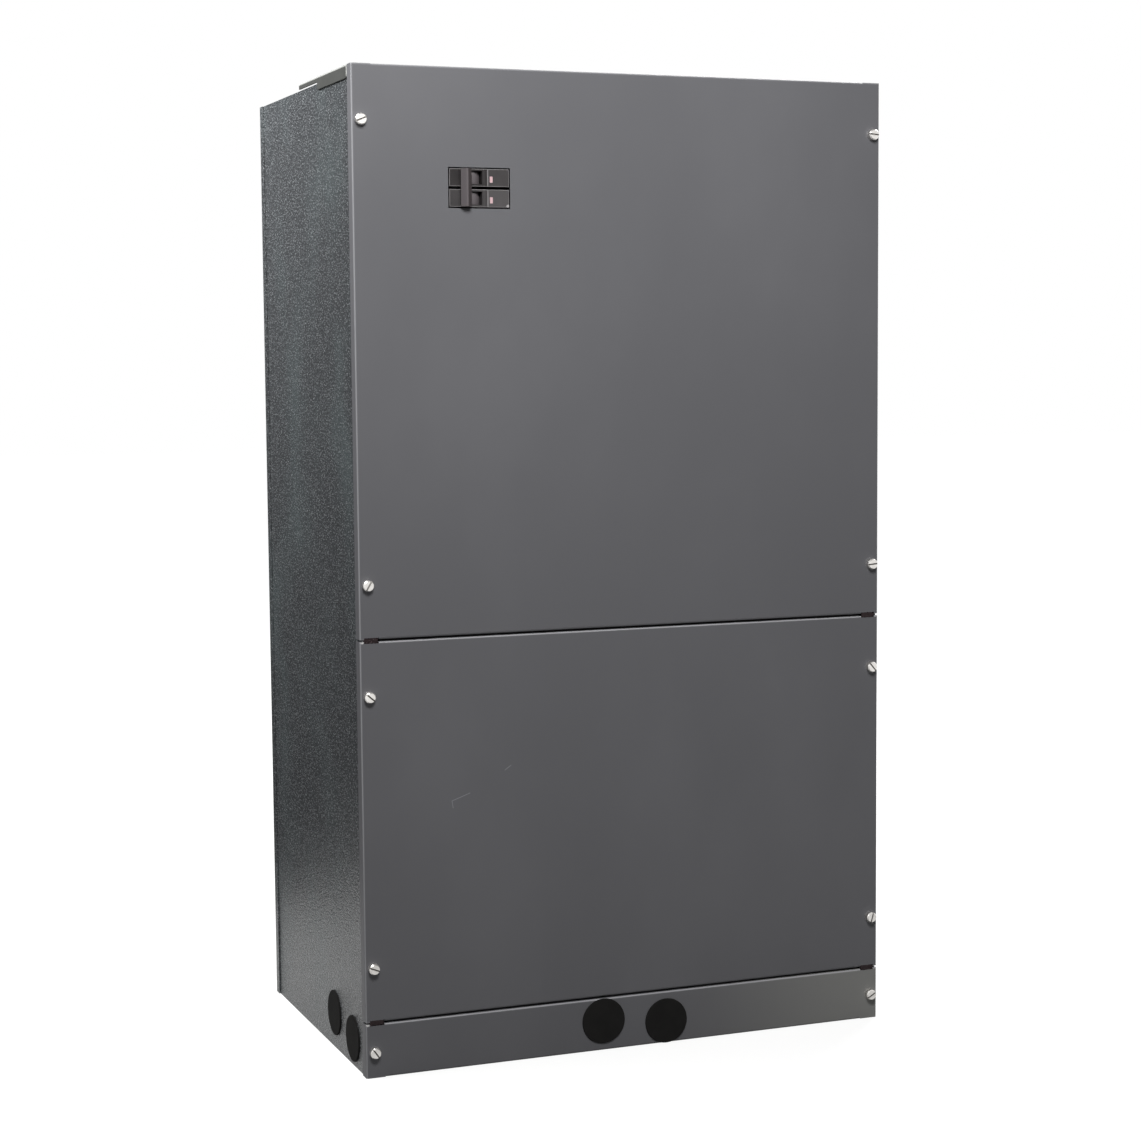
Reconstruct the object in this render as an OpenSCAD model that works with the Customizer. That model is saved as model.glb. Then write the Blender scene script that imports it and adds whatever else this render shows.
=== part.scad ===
// Upright air handling unit: a folded sheet cabinet with a breaker in its upper front panel,
// plugged drain outlets at its foot, a coil over a drain pan, and a blower under the supply opening.
// Millimetres. The front faces -Y, +Z is up, and the origin is the centre of the footprint.

/* [Cabinet] */
// Width over the front panels
cabinet_w = 526; // [440:1:620]
// Depth from the front panels to the back panel
cabinet_d = 330; // [310:1:420]
// Height of the front panels
cabinet_h = 914; // [880:1:1000]
// How far the side panels stop below the top of the front panels
side_drop = 6; // [4:0.5:8]
// Thickness of the sheet
sheet = 1; // [0.8:0.1:1.5]
// Outer radius of a fold
bend_r = 2; // [1.6:0.1:3]
// Clearance between pieces that slip over each other
fit = 0.3; // [0.1:0.1:0.5]
// Width of the flanges that the side panels turn inwards
side_flange = 16; // [14:1:24]
// Depth of the returns that the front and back panels lay over the sides
return_d = 12; // [8:1:16]

/* [Front panels] */
// Height of the seam between the upper and lower panels
upper_seam_z = 402; // [380:1:430]
// Height of the seam between the lower and base panels
lower_seam_z = 51; // [50:1:70]
// Width of the gap at a seam
seam_gap = 2; // [1:0.5:4]
// Depth of the lip along a panel's top and bottom edges
lip_d = 8; // [5:1:9]
// Height of a lip's upright leg
lip_leg = 4; // [3.5:0.5:8]
// Clearance of a lip's ends between the side flanges
lip_room = 0.7; // [0.3:0.1:2]
// Width of the corner that a relief leaves standing
relief_edge = 4; // [3:0.5:6]
// Depth of the corner reliefs at the seams
relief_h = 1.6; // [1:0.1:2.5]
// Distance of the screw holes from the sides of the cabinet
screw_in = 8; // [7:0.5:10]
// Diameter of the screw holes
screw_d = 5; // [4:0.5:6]
// Distance of the upper panel's upper screws below its top
upper_screw_drop = 49; // [30:1:80]
// Distance of the upper panel's lower screws above the seam
upper_screw_rise = 50; // [30:1:80]
// Distance of the lower panel's screws from its seams
lower_screw_in = 51; // [30:1:80]
// Height of the base panel's screws
base_screw_z = 24; // [16:1:30]

/* [Breaker] */
// Distance of the breaker's centre from the left side of the cabinet
breaker_in = 118.5; // [100:0.5:160]
// Distance of the breaker's centre below the top of the front panels
breaker_drop = 107; // [90:1:110]
// Length of the breaker's face
breaker_l = 56.5; // [54:0.5:64]
// Thickness of one pole
pole_t = 15.8; // [15:0.1:20]
// Gap between the two poles
pole_gap = 2.6; // [1:0.1:4]
// Depth of the poles behind the front panel
pole_d = 45; // [40:1:60]
// How far the poles stand out of the front panel
pole_proud = 0.5; // [0:0.1:2]
// Thickness of a pole's side wall beside the handle
pole_wall = 2; // [1.5:0.1:3]
// Clearance round the poles in the panel's cut-out
window_gap = 1.2; // [0.3:0.1:1.5]
// Length of the lower end block at a pole's left
end_block_l = 9; // [6:0.5:10]
// How far that end block lies below the pole's face
end_block_drop = 1; // [0.5:0.1:2]
// Distance from a pole's left end to the handle's axis
pivot_from_end = 21.25; // [20:0.25:24]
// Distance from a pole's left end to its rounded ridge
ridge_from_end = 31.25; // [30:0.25:36]
// Width of the ridge
ridge_w = 4.5; // [4:0.5:7]
// Height of the ridge
ridge_h = 0.7; // [0.4:0.1:1.5]
// Distance of a trip flag from the ridge
flag_room = 2.5; // [1:0.1:4]
// Width of a trip flag
flag_w = 2.8; // [2:0.1:4]
// Height of a trip flag
flag_h = 5.5; // [4:0.5:8]
// How far a trip flag lies below the middle of its pole
flag_drop = 1.5; // [0:0.1:2]
// Depth of the recess round a trip flag
flag_depth = 0.8; // [0.4:0.1:1.5]
// Thickness of a trip flag
flag_t = 0.4; // [0.2:0.1:0.6]
// Depth of the handle's axis behind the panel's front
pivot_depth = 12.5; // [10:0.5:14]
// How far the handle's drum lies behind the poles' faces
drum_in = 2.2; // [1.5:0.1:3]
// Running clearance of the drum
drum_gap = 0.3; // [0.2:0.1:0.6]
// Swing of the handle each way from the middle
handle_swing = 22; // [18:1:26]
// Thickness of a lever
lever_t = 6; // [4:0.5:7]
// Room beside the lever at the end of its swing
lever_room = 1; // [0.3:0.1:2]
// Clearance of the tie bar over the ridges at the end of the swing
tie_gap = 0.6; // [0.4:0.1:2]
// Height of the tie bar over its foot
tie_rise = 4.5; // [3:0.5:6]
// Width of the tie bar
tie_w = 9.8; // [8:0.1:12]
// How far the tie bar's crest lies right of its middle
tie_crest_x = 1; // [0:0.1:2]
// Radius of the tie bar's crest
tie_crest_r = 1.5; // [0.5:0.1:2.5]
// How far the tie bar stops short of the poles' outer sides
tie_short = 0.1; // [0:0.1:2]

/* [Drain] */
// Diameter of a plug's head
plug_d = 43; // [38:0.2:46]
// Thickness of a plug's head
plug_head = 1.5; // [1:0.5:4]
// Diameter of a drain outlet's bore
drain_bore_d = 26; // [20:1:28]
// Wall of a drain outlet
drain_wall = 2.5; // [2:0.5:4]
// Length of a plug's shank
plug_shank = 14; // [10:1:20]
// Clearance of the panels' holes round the drain outlets
drain_hole_gap = 1.5; // [1:0.5:3]
// Distance of the left front plug from the middle
front_plug_left = 29.5; // [24:0.5:40]
// Distance of the right front plug from the middle
front_plug_right = 35; // [24:0.5:40]
// Distance of the left front plug below the lower seam
front_plug_drop = 22.5; // [21:0.5:26]
// Gap between the right front plug's rim and the floor
plug_floor_gap = 0.2; // [0:0.1:4]
// Distance of the first side plug behind the front
side_plug_front = 46; // [40:1:54]
// Distance of the second side plug behind the front
side_plug_rear = 108; // [98:1:120]
// Height of the first side plug
side_plug_front_z = 25.5; // [24:0.5:28]
// Height of the second side plug
side_plug_rear_z = 34; // [28:0.5:34]
// Height of the drain pan's rim over its highest outlet
pan_rim = 2.5; // [1:0.5:8]
// Wall and floor of the drain pan
pan_wall = 3; // [2:0.5:5]

/* [Top] */
// Distance of the supply opening from the sides of the cabinet
supply_side = 33; // [30:1:60]
// Distance of the supply opening behind the front
supply_front = 95; // [90:1:110]
// Distance of the supply opening from the back
supply_back = 25; // [22:1:50]
// Depth of the edge turned down round the supply opening
supply_edge = 6; // [4:0.5:10]
// Height of the supply collar
collar_h = 12; // [8:1:14]
// Width of the collar's foot
collar_foot = 14; // [8:1:16]
// Length of a plenum clip's tab
clip_tab = 98; // [80:1:110]
// Length of the strip behind a clip's tab
clip_strip = 64; // [50:1:80]
// Height of the tab below the top of the front panel
clip_tab_h = 12; // [9:0.5:16]
// Height of the strip
clip_strip_h = 5; // [3:0.5:5.5]
// Thickness of a clip
clip_t = 1.6; // [1:0.1:2.5]
// Radius of the tab's lower front corner
clip_corner = 4; // [2:0.5:6]

/* [Inside] */
// Thickness of the liners
liner_t = 12; // [8:1:20]
// Height of the plenum over the blower deck
plenum_h = 147; // [140:1:160]
// Distance of the control partition behind the front
partition_y = 80; // [76:1:90]
// Height of the rails behind the seams
rail_h = 40; // [30:1:50]
// Depth of the rails
rail_d = 20; // [14:1:26]

/* [Blower] */
// Radius of the blower wheel
wheel_r = 95; // [80:1:98]
// Length of the blower wheel
wheel_l = 196; // [160:1:220]
// Number of blades
blades = 36; // [24:1:48]
// Depth of the blades
blade_d = 17; // [12:1:22]
// Thickness of the blades
blade_t = 1.6; // [1:0.1:2.5]
// Clearance of the wheel at the scroll's cutoff
cutoff_gap = 10; // [6:1:14]
// How far the scroll opens out from its cutoff to its outlet
scroll_grow = 45; // [35:1:47]
// Height of the outlet above the cutoff
throat_h = 58; // [40:1:70]
// Room between the wheel and the blower's plates
wheel_room = 8; // [5:1:14]
// Radius of the motor
motor_r = 60; // [45:1:62]
// Gap between the motor and the wheel's hub
motor_gap = 3; // [1:0.5:6]
// Length of the wheel's hub
hub_l = 30; // [20:1:40]
// Radius of the shaft
shaft_r = 6.3; // [5:0.1:8]
// Radial clearance of the hub on the shaft and of the band round the motor
shaft_gap = 0.03; // [0.01:0.01:0.1]
// Width of the band round the motor
band_w = 7; // [5:1:12]
// Length of the motor's rounded ends
motor_dome = 8; // [4:1:12]

/* [Coil] */
// Room between the coil's ends and the drain pan's walls
coil_end_room = 25; // [15:1:40]
// Room between a slab's foot and the drain pan's back wall
slab_room = 10; // [6:1:14]
// Thickness of a slab
slab_t = 44; // [30:1:48]
// Height of the coil
coil_h = 356; // [300:1:380]
// Distance from the middle to the inner top of a slab
slab_apex = 7; // [5:1:12]
// Width of the trough inside the coil's feet
trough_w = 19; // [12:1:26]
// Width of the trough past the coil's ends
trough_end = 26.5; // [20:0.5:40]

/* [Hidden] */
$fn = 64;

// Colours
front_paint = "#4f4f52";
side_paint = "#3b4040";
galvanised = "#a5a8a8";
black_plastic = "#1a1a1b";
liner_foil = "#8c8e90";
aluminium_fin = "#b9bcbe";
motor_black = "#222325";
flag_white = "#e8d6d6";

// Bends are drawn with this many flats to a right angle
bend_flats = 6;
// Cuts run this far past a face
over = 1;

// Faces of the cabinet, from the outside in
front_y = -cabinet_d / 2;
back_y = cabinet_d / 2;
side_h = cabinet_h - side_drop;
deck_z = side_h - sheet - plenum_h;
side_out_x = cabinet_w / 2 - sheet - fit;
side_in_x = side_out_x - sheet;
flange_front_y = front_y + sheet + fit;
flange_back_y = back_y - sheet - fit;
inner_front_y = flange_front_y + sheet;
inner_back_y = flange_back_y - sheet;
liner_in_x = side_in_x - liner_t;
slip_x = side_in_x - fit;

// Points of an arc about [x, y]
function arc(x, y, r, from, to, flats) =
    [for (i = [0:flats]) let (a = from + (to - from) * i / flats) [x + r * cos(a), y + r * sin(a)]];

// Section of a channel: its web's outer face lies on y = 0 and its flanges point to +Y
function channel(w, d, t, r) = concat(
    [[-w / 2, d]],
    arc(-w / 2 + r, r, r, 180, 270, bend_flats),
    arc(w / 2 - r, r, r, 270, 360, bend_flats),
    [[w / 2, d], [w / 2 - t, d]],
    arc(w / 2 - r, r, r - t, 360, 270, bend_flats),
    arc(-w / 2 + r, r, r - t, 270, 180, bend_flats),
    [[-w / 2 + t, d]]
);

// Section of an angle: one leg runs up +Y along x = 0, the other along +X on y = 0
function angle(a, b, t, r) = concat(
    [[0, b]],
    arc(r, r, r, 180, 270, bend_flats),
    [[a, 0], [a, t]],
    arc(r, r, r - t, 270, 180, bend_flats),
    [[t, b]]
);

// Extrudes a section drawn in Y and Z along X, about the middle
module along_x(length) {
    rotate([90, 0, 90])
        linear_extrude(length, center = true)
            children();
}

module box(low, high) {
    translate(low) cube(high - low);
}

// Formed front panels

upper_screws = [cabinet_h - upper_screw_drop, upper_seam_z + upper_screw_rise];
lower_screws = [upper_seam_z - lower_screw_in, lower_seam_z + lower_screw_in];
base_screws = [base_screw_z];

// A lip that a panel's edge turns back, its flat on z = 0 and its upright leg below
module lip(length) {
    along_x(length)
        mirror([0, 1])
            polygon(angle(lip_d, lip_leg, sheet, bend_r));
}

// A pan-formed panel with returns over the sides, lips at top and bottom and corner reliefs
module formed_panel(low, high, low_relief, high_relief) {
    relief_x = cabinet_w / 2 - relief_edge;
    lip_x = side_out_x - side_flange - lip_room;
    translate([0, front_y, 0]) {
        difference() {
            translate([0, 0, low])
                linear_extrude(high - low)
                    polygon(channel(cabinet_w, return_d, sheet, bend_r));
            box([-relief_x, -over, high - high_relief], [relief_x, return_d, high + over]);
            box([-relief_x, -over, low - over], [relief_x, return_d, low + low_relief]);
            box([-lip_x, -over, high - lip_leg], [lip_x, return_d, high + over]);
            box([-lip_x, -over, low - over], [lip_x, return_d, low + lip_leg]);
        }
        translate([0, 0, high]) lip(2 * lip_x);
        translate([0, 0, low]) mirror([0, 0, 1]) lip(2 * lip_x);
    }
}

// Round holes through a panel and the side flange behind it, near both ends
module screw_holes(heights) {
    for (z = heights, side = [-1, 1])
        translate([side * (cabinet_w / 2 - screw_in), front_y - over, z])
            rotate([-90, 0, 0])
                cylinder(d = screw_d, h = 2 * sheet + fit + 2 * over);
}

module upper_front_panel() {
    window_l = breaker_l + 2 * window_gap;
    window_h = breaker_h + 2 * window_gap;
    color(front_paint)
        difference() {
            formed_panel(upper_seam_z + seam_gap / 2, cabinet_h, relief_h, 0);
            translate([-breaker_x, front_y, breaker_z])
                cube([window_l, 2 * bend_r + over, window_h], center = true);
            screw_holes(upper_screws);
        }
}

module lower_front_panel() {
    color(front_paint)
        difference() {
            formed_panel(lower_seam_z + seam_gap / 2, upper_seam_z - seam_gap / 2, relief_h, relief_h);
            screw_holes(lower_screws);
        }
}

module base_front_panel() {
    color(front_paint)
        difference() {
            formed_panel(0, lower_seam_z - seam_gap / 2, 0, relief_h);
            front_drains() drain_hole();
            screw_holes(base_screws);
        }
}

// Cabinet shell

// A side panel: one sheet with flanges turned in at the front and back
module side_sheet() {
    difference() {
        translate([-side_out_x, 0, 0])
            rotate([0, 0, -90])
                linear_extrude(side_h)
                    polygon(channel(flange_back_y - flange_front_y, side_flange, sheet, bend_r));
        screw_holes(concat(upper_screws, lower_screws, base_screws));
    }
}

module left_side_panel() {
    color(side_paint)
        difference() {
            side_sheet();
            side_drains() drain_hole();
        }
}

module right_side_panel() {
    color(side_paint) mirror([1, 0, 0]) side_sheet();
}

module back_panel() {
    color(side_paint)
        translate([0, back_y, 0])
            mirror([0, 1, 0])
                linear_extrude(side_h)
                    polygon(channel(cabinet_w, return_d, sheet, bend_r));
}

supply_w = cabinet_w - 2 * supply_side;
supply_d = cabinet_d - supply_front - supply_back;
supply_y = (supply_front - supply_back) / 2;

// An inverted pan between the side panels, its supply opening cut out and edged with a turned-down rim
module top_panel() {
    top_flange = 12;
    length = inner_back_y - inner_front_y - 2 * fit;
    opening = [supply_w, supply_d];
    color(side_paint)
        difference() {
            union() {
                translate([0, -length / 2, side_h])
                    rotate([-90, 0, 0])
                        linear_extrude(length)
                            polygon(channel(2 * slip_x, top_flange, sheet, bend_r));
                translate([0, supply_y, side_h - supply_edge])
                    linear_extrude(supply_edge)
                        square(opening + 2 * [sheet, sheet], center = true);
            }
            translate([0, supply_y, side_h - supply_edge - over])
                linear_extrude(supply_edge + 2 * over)
                    square(opening, center = true);
        }
}

// The floor of the cabinet, a shallow pan with the return opening
module base_pan() {
    base_flange = 6;
    pan_front_y = front_y + lip_d + fit;
    length = inner_back_y - fit - pan_front_y;
    color(galvanised)
        difference() {
            translate([0, pan_front_y + length, 0])
                rotate([90, 0, 0])
                    linear_extrude(length)
                        polygon(channel(2 * slip_x, base_flange, sheet, bend_r));
            box([-return_w / 2, -return_open_d / 2, -over], [return_w / 2, return_open_d / 2, sheet + over]);
        }
}

// A low frame of angle section round the supply opening, for the duct
module supply_collar() {
    wall = [supply_w, supply_d];
    foot = wall + 2 * [collar_foot, collar_foot];
    opening = wall - 2 * [sheet, sheet];
    color(galvanised)
        translate([0, supply_y, side_h])
            difference() {
                union() {
                    linear_extrude(sheet) square(foot, center = true);
                    linear_extrude(collar_h) square(wall, center = true);
                }
                translate([0, 0, -over])
                    linear_extrude(collar_h + 2 * over)
                        square(opening, center = true);
            }
}

// A clip lapped over the side's top edge: a tab at the front and a narrow strip behind it
module plenum_clip() {
    tab_start = return_d + fit;
    tab_low = cabinet_h - clip_tab_h;
    tab_end = tab_start + clip_tab;
    strip_low = cabinet_h - clip_strip_h;
    clip_flange = 7;
    outline = concat(
        [[tab_start, cabinet_h]],
        arc(tab_start + clip_corner, tab_low + clip_corner, clip_corner, 180, 270, bend_flats),
        [[tab_end, tab_low], [tab_end, strip_low], [tab_end + clip_strip, strip_low]],
        [[tab_end + clip_strip, cabinet_h]]
    );
    translate([-side_out_x, front_y, 0]) {
        translate([-clip_t / 2, 0, 0])
            along_x(clip_t)
                polygon(outline);
        box([0, tab_start, cabinet_h - sheet], [clip_flange, tab_end, cabinet_h]);
    }
}

module left_plenum_clip() {
    color(front_paint) plenum_clip();
}

module right_plenum_clip() {
    color(front_paint) mirror([1, 0, 0]) plenum_clip();
}

// Rails between the side panels

// An angle between the side flanges, under the top panel's front edge
module top_front_rail() {
    rail_x = side_out_x - side_flange - fit;
    color(galvanised)
        translate([0, flange_front_y, side_h - rail_h])
            along_x(2 * rail_x)
                polygon(angle(rail_d, rail_h, sheet, bend_r));
}

// A channel across the cabinet behind the panels' lips
module cross_rail(low) {
    color(galvanised)
        translate([0, front_y + lip_d + sheet, low + rail_h / 2])
            along_x(2 * slip_x)
                rotate(-90)
                    polygon(channel(rail_h, rail_d, sheet, bend_r));
}

module middle_rail() {
    cross_rail(upper_seam_z - rail_h / 2);
}

module low_rail() {
    cross_rail(pan_h + sheet);
}

// Breaker

breaker_h = 2 * pole_t + pole_gap;
breaker_z = cabinet_h - breaker_drop;
breaker_x = cabinet_w / 2 - breaker_in;
breaker_left_x = -breaker_x - breaker_l / 2;
pole_face_y = front_y - pole_proud;
pole_back_y = front_y + pole_d;
pivot_x = breaker_left_x + pivot_from_end;
pivot_y = front_y + pivot_depth;
pole_heights = [for (side = [-1, 1]) breaker_z + side * (pole_gap + pole_t) / 2];
drum_r = pivot_depth + pole_proud - drum_in;
drum_h = pole_t - 2 * pole_wall - 2 * drum_gap;
tie_low = pivot_depth + pole_proud + ridge_h + tie_gap;
tie_foot = (tie_low + tie_w / 2 * sin(handle_swing)) / cos(handle_swing);
flag_x = ridge_from_end + ridge_w + flag_room;
flag_low = -flag_drop - flag_h / 2;

// Section of a pole from its left end, its face on y = 0: an end block, a flat, a ridge and a flat
module pole_section() {
    depth = pole_back_y - pole_face_y;
    ridge_r = (pow(ridge_w / 2, 2) + pow(ridge_h, 2)) / (2 * ridge_h);
    ridge_half = asin(ridge_w / 2 / ridge_r);
    ridge_x = ridge_from_end + ridge_w / 2;
    polygon(concat(
        [[0, depth], [0, end_block_drop], [end_block_l, end_block_drop], [end_block_l, 0]],
        arc(ridge_x, ridge_r - ridge_h, ridge_r, 270 - ridge_half, 270 + ridge_half, bend_flats),
        [[breaker_l, 0], [breaker_l, depth]]
    ));
}

// One moulded pole about its middle height, with the well that the handle's drum and lever swing in
module pole() {
    well_h = pole_t - 2 * pole_wall;
    reach = pivot_depth + pole_proud;
    slot_x = reach * tan(handle_swing) + lever_t / 2 / cos(handle_swing) + lever_room;
    difference() {
        translate([breaker_left_x, pole_face_y, 0])
            linear_extrude(pole_t, center = true)
                pole_section();
        translate([pivot_x, pivot_y, 0]) {
            cylinder(r = drum_r + drum_gap, h = well_h, center = true);
            box([-slot_x, -reach - over, -well_h / 2], [slot_x, 0, well_h / 2]);
        }
        translate([breaker_left_x + flag_x, pole_face_y - over, flag_low])
            cube([flag_w, flag_depth + over, flag_h]);
    }
}

module breaker_upper_pole() {
    color(black_plastic) translate([0, 0, pole_heights[1]]) pole();
}

module breaker_lower_pole() {
    color(black_plastic) translate([0, 0, pole_heights[0]]) pole();
}

// Small flags on the floors of the poles' recesses
module trip_flags() {
    color(flag_white)
        for (z = pole_heights)
            translate([breaker_left_x + flag_x, pole_face_y + flag_depth - flag_t, z + flag_low])
                cube([flag_w, flag_t, flag_h]);
}

// Section of the tie bar about the handle's axis: a roof with a rounded crest that points to -Y
module tie_section() {
    shoulder = tie_foot + tie_crest_r;
    left_slope = atan2(tie_rise - tie_crest_r, tie_w / 2 + tie_crest_x);
    right_slope = atan2(tie_rise - tie_crest_r, tie_w / 2 - tie_crest_x);
    crest_y = -tie_foot - tie_rise + tie_crest_r;
    polygon(concat(
        [[tie_w / 2, -tie_foot], [-tie_w / 2, -tie_foot], [-tie_w / 2, -shoulder]],
        arc(tie_crest_x, crest_y, tie_crest_r, 270 - left_slope, 270 + right_slope, bend_flats),
        [[tie_w / 2, -shoulder]]
    ));
}

// Two drums with levers, joined in front of the poles by a tie bar
module breaker_handle() {
    lever_l = tie_foot + sheet;
    color(black_plastic)
        translate([pivot_x, pivot_y, 0])
            rotate(-handle_swing) {
                for (z = pole_heights)
                    translate([0, 0, z]) {
                        cylinder(r = drum_r, h = drum_h, center = true);
                        translate([0, -lever_l / 2, 0])
                            cube([lever_t, lever_l, drum_h], center = true);
                    }
                translate([0, 0, breaker_z])
                    linear_extrude(breaker_h - 2 * tie_short, center = true)
                        tie_section();
            }
}

// A channel that carries the poles from the partition
module breaker_bracket() {
    depth = front_y + partition_y - pole_back_y;
    color(galvanised)
        translate([-breaker_x, pole_back_y, breaker_z - breaker_h / 2])
            linear_extrude(breaker_h)
                polygon(channel(breaker_l, depth, sheet, bend_r));
}

// The back of the control compartment, standing on the blower deck
module control_partition() {
    height = side_h - sheet - fit - deck_z - sheet;
    foot = 15;
    color(galvanised)
        translate([0, front_y + partition_y, deck_z + sheet])
            along_x(2 * (liner_in_x - fit))
                polygon(angle(foot, height, sheet, bend_r));
}

// Drain

stub_r = drain_bore_d / 2 + drain_wall;
hole_r = stub_r + drain_hole_gap;
pan_x = liner_in_x;
pan_front = front_y + lip_d + sheet + 2 * fit;
pan_back = inner_back_y - liner_t;
pan_h = side_plug_rear_z + stub_r + pan_rim;
front_plug_left_z = lower_seam_z - front_plug_drop;
front_plug_right_z = plug_d / 2 + plug_floor_gap;

// Places a child on the front panel at both drain outlets, with its +Z pointing out of the cabinet
module front_drains() {
    translate([-front_plug_left, front_y, front_plug_left_z]) rotate([90, 0, 0]) children();
    translate([front_plug_right, front_y, front_plug_right_z]) rotate([90, 0, 0]) children();
}

// Places a child on the left side panel at both drain outlets, with its +Z pointing out of the cabinet
module side_drains() {
    side_drain(side_plug_front, side_plug_front_z) children();
    side_drain(side_plug_rear, side_plug_rear_z) children();
}

module side_drain(from_front, z) {
    translate([-side_out_x, front_y + from_front, z]) rotate([0, -90, 0]) children();
}

module drain_hole() {
    translate([0, 0, -sheet - over]) cylinder(r = hole_r, h = sheet + 2 * over);
}

// A plug: a flat round head with a softened rim and a shank in the drain outlet
module plug() {
    rim = plug_head / 2;
    head_r = plug_d / 2;
    shank_r = drain_bore_d / 2 - fit;
    rotate_extrude()
        polygon(concat(
            [[0, -plug_shank], [shank_r, -plug_shank], [shank_r, 0], [head_r, 0]],
            arc(head_r - rim, plug_head - rim, rim, 0, 90, bend_flats),
            [[0, plug_head]]
        ));
}

module front_left_plug() {
    color(black_plastic)
        translate([-front_plug_left, front_y, front_plug_left_z]) rotate([90, 0, 0]) plug();
}

module front_right_plug() {
    color(black_plastic)
        translate([front_plug_right, front_y, front_plug_right_z]) rotate([90, 0, 0]) plug();
}

module side_front_plug() {
    color(black_plastic) side_drain(side_plug_front, side_plug_front_z) plug();
}

module side_rear_plug() {
    color(black_plastic) side_drain(side_plug_rear, side_plug_rear_z) plug();
}

// A moulded tray with a trough round the return opening and four outlets
module drain_pan() {
    outer_low = [-pan_x, pan_front, sheet];
    outer_high = [pan_x, pan_back, pan_h];
    inner_x = return_w / 2 + pan_wall;
    inner_y = return_open_d / 2 + pan_wall;
    wall = [pan_wall, pan_wall, 0];
    front_reach = pan_front - (front_y + sheet + fit);
    side_reach = side_in_x - fit - pan_x;
    color(black_plastic)
        difference() {
            union() {
                difference() {
                    box(outer_low, outer_high);
                    difference() {
                        box(outer_low + [pan_wall, pan_wall, pan_wall], outer_high - wall + [0, 0, over]);
                        box([-inner_x, -inner_y, 0], [inner_x, inner_y, pan_h + 2 * over]);
                    }
                }
                front_drains()
                    translate([0, 0, -sheet - fit - front_reach])
                        cylinder(r = stub_r, h = front_reach);
                side_drains()
                    translate([0, 0, -sheet - fit - side_reach])
                        cylinder(r = stub_r, h = side_reach);
            }
            box([-return_w / 2, -return_open_d / 2, 0], [return_w / 2, return_open_d / 2, pan_h + over]);
            front_drains() drain_bore(front_reach);
            side_drains() drain_bore(side_reach);
        }
}

module drain_bore(reach) {
    depth = sheet + fit + reach + pan_wall + over;
    translate([0, 0, -depth]) cylinder(d = drain_bore_d, h = depth);
}

// Liners

liner_low = pan_h + 2 * sheet + rail_h;
liner_high = side_h - 2 * liner_t;
side_liner_front_y = front_y + lip_d + rail_d + 2 * sheet;

module side_liner() {
    box([-side_in_x, side_liner_front_y, liner_low], [-liner_in_x, inner_back_y - bend_r, liner_high]);
}

module left_liner() {
    color(liner_foil) side_liner();
}

module right_liner() {
    color(liner_foil) mirror([1, 0, 0]) side_liner();
}

module back_liner() {
    color(liner_foil)
        box(
            [-liner_in_x + fit, inner_back_y - liner_t, liner_low],
            [liner_in_x - fit, inner_back_y, liner_high]
        );
}

// Blower

scroll_small_r = wheel_r + cutoff_gap;
scroll_large_r = scroll_small_r + scroll_grow;
inlet_r = wheel_r - blade_d;
wheel_y = inner_back_y - liner_t - fit - sheet - scroll_large_r;
wheel_z = deck_z - throat_h - scroll_small_r;
plate_x = wheel_l / 2 + wheel_room;
scroll_turn = 270;
scroll_step = 10;

// Radius of the scroll, from its outlet at the back down, round the front and up to its cutoff
function scroll_r(a) = scroll_large_r - (scroll_large_r - scroll_small_r) * a / scroll_turn;
function scroll_points(grow) = [
    for (a = [0:scroll_step:scroll_turn - scroll_step]) (scroll_r(a) + grow) * [cos(-a), sin(-a)]
];

// Outline of the scroll's inside about the wheel's axis, drawn in Y and Z, up to the deck
module scroll_outline(grow) {
    outlet_z = deck_z - wheel_z;
    polygon(concat(
        [[scroll_large_r + grow, outlet_z]],
        scroll_points(grow),
        [[-grow, scroll_small_r + grow], [-grow, outlet_z]]
    ));
}

module blower_deck() {
    deck_flange = 12;
    deck_x = liner_in_x - fit;
    deck_front_y = side_liner_front_y;
    deck_back_y = inner_back_y - liner_t - fit;
    color(galvanised)
        difference() {
            translate([0, deck_front_y, deck_z + sheet])
                rotate([-90, 0, 0])
                    linear_extrude(deck_back_y - deck_front_y)
                        polygon(channel(2 * deck_x, deck_flange, sheet, bend_r));
            box(
                [-plate_x, wheel_y, deck_z - over],
                [plate_x, wheel_y + scroll_large_r, deck_z + sheet + over]
            );
        }
}

// The wrap of sheet between the blower's plates
module blower_scroll() {
    color(galvanised)
        translate([0, wheel_y, wheel_z])
            along_x(2 * plate_x)
                difference() {
                    scroll_outline(sheet);
                    scroll_outline(0);
                }
}

module blower_plate() {
    color(galvanised)
        translate([-plate_x - sheet / 2, wheel_y, wheel_z])
            along_x(sheet)
                difference() {
                    scroll_outline(sheet);
                    circle(r = inlet_r);
                }
}

module blower_left_plate() {
    blower_plate();
}

module blower_right_plate() {
    mirror([1, 0, 0]) blower_plate();
}

// One forward-curved blade, drawn about the wheel's axis
module blade() {
    half_turn = 60;
    flats = 5;
    middle_r = wheel_r - blade_d / 2;
    curve_r = (blade_d - blade_t) / 2 / sin(half_turn);
    polygon(concat(
        arc(0, middle_r, curve_r, -half_turn, half_turn, flats),
        arc(0, middle_r, curve_r - blade_t, half_turn, -half_turn, flats)
    ));
}

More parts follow.
